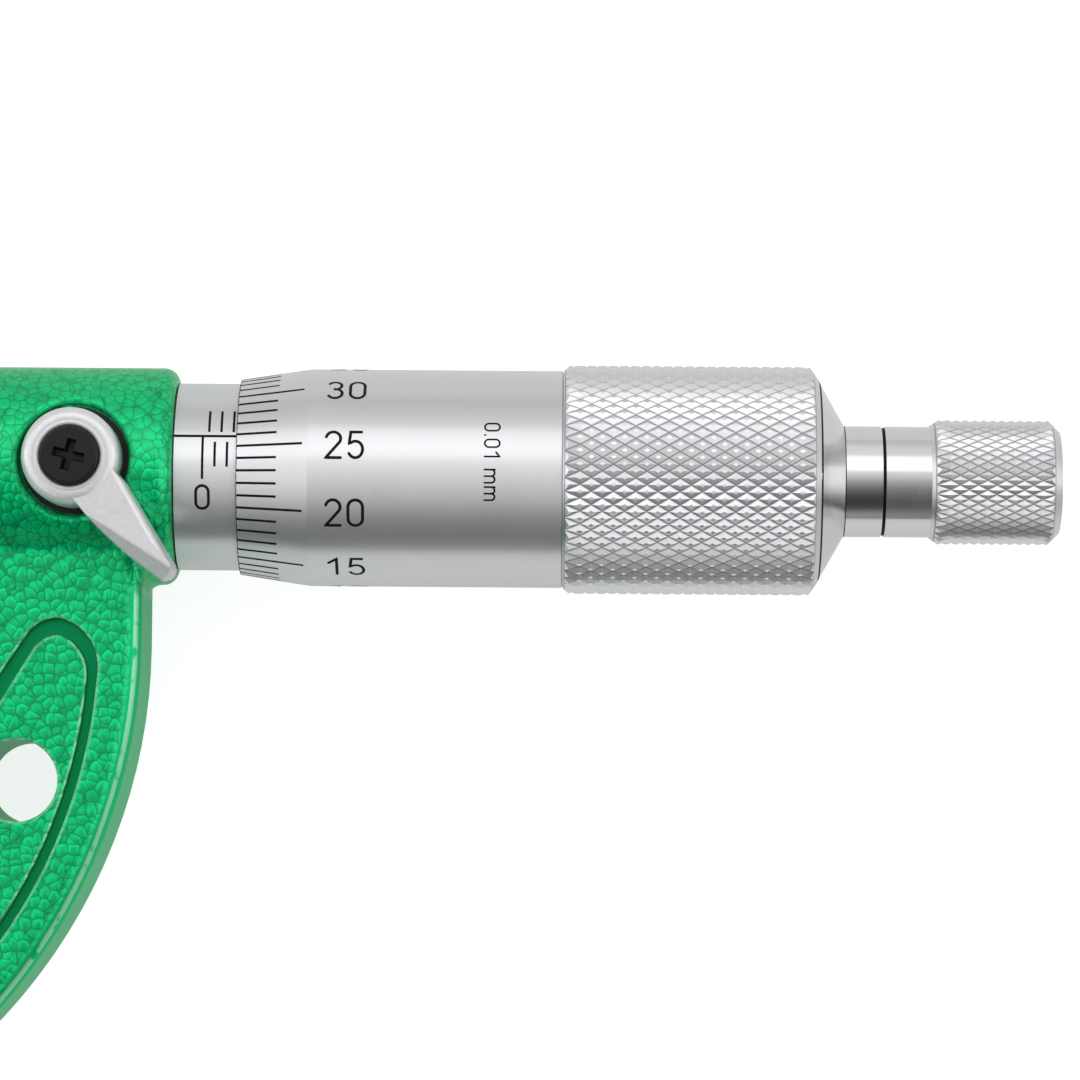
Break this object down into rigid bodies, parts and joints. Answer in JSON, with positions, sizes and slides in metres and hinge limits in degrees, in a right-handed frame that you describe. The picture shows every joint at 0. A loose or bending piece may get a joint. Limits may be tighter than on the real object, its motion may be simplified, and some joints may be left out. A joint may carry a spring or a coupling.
{
  "type": "outside micrometer",
  "caption": "Outside micrometer with a cast bow, lock lever, graduated sleeve and thimble, and a ratchet stop; the spindle opens as the thimble turns.",
  "frame": {"origin": "centre of the fixed anvil's measuring face", "axes": "+X along the spindle towards the ratchet, +Y from the bow to the spindle, +Z out of the front where the scale and the lock lever are"},
  "size_m": [0.1685, 0.0695, 0.022],
  "materials": {
    "hammered_paint": "hammertone",
    "satin_chrome": "satin",
    "bright_steel": "ground",
    "hard_metal": "lapped",
    "die_cast_silver": "satin",
    "black_finish": "satin",
    "brass": "turned",
    "spring_steel": "drawn"
  },
  "bodies": {
    "frame": {"frame": "hammered_paint", "anvil": "bright_steel", "anvil_tip": "hard_metal", "inner_sleeve": "bright_steel", "adjusting_nut": "bright_steel", "lock_washer": "black_finish", "lock_pad": "brass"},
    "scale_sleeve": {"sleeve": "satin_chrome"},
    "spindle": {"spindle": "bright_steel", "spindle_tip": "hard_metal"},
    "thimble": {"thimble": "satin_chrome", "thimble_cap": "bright_steel", "ratchet_base": "bright_steel", "ratchet_screw": "bright_steel"},
    "ratchet": {"ratchet_knob": "satin_chrome", "ratchet_ring": "bright_steel", "ratchet_spring": "spring_steel"},
    "lock": {"lock_stud": "bright_steel", "lock_lever": "die_cast_silver", "lock_screw": "black_finish"}
  },
  "joints": [
    {"name": "sleeve_zero", "type": "hinge", "parent": "frame", "child": "scale_sleeve", "pos_m": [0.07, 0, 0], "axis": [1, 0, 0], "range_deg": [-15, 15]},
    {"name": "spindle_travel", "type": "slide", "parent": "frame", "child": "spindle", "axis": [1, 0, 0], "range_m": [-0.00276, 0.02224]},
    {"name": "thimble_turn", "type": "hinge", "parent": "spindle", "child": "thimble", "pos_m": [0.1, 0, 0], "axis": [1, 0, 0], "range_deg": [-1987.2, 16012.8]},
    {"name": "ratchet_turn", "type": "hinge", "parent": "thimble", "child": "ratchet", "pos_m": [0.13, 0, 0], "axis": [1, 0, 0], "continuous": true},
    {"name": "lock_turn", "type": "hinge", "parent": "frame", "child": "lock", "pos_m": [0.062, 0.00076, 0.009], "axis": [0, 0, 1], "range_deg": [-45, 0]}
  ],
  "couplings": [
    {"joint": "thimble_turn", "follows": "spindle_travel", "rad_per_m": 12566}
  ]
}
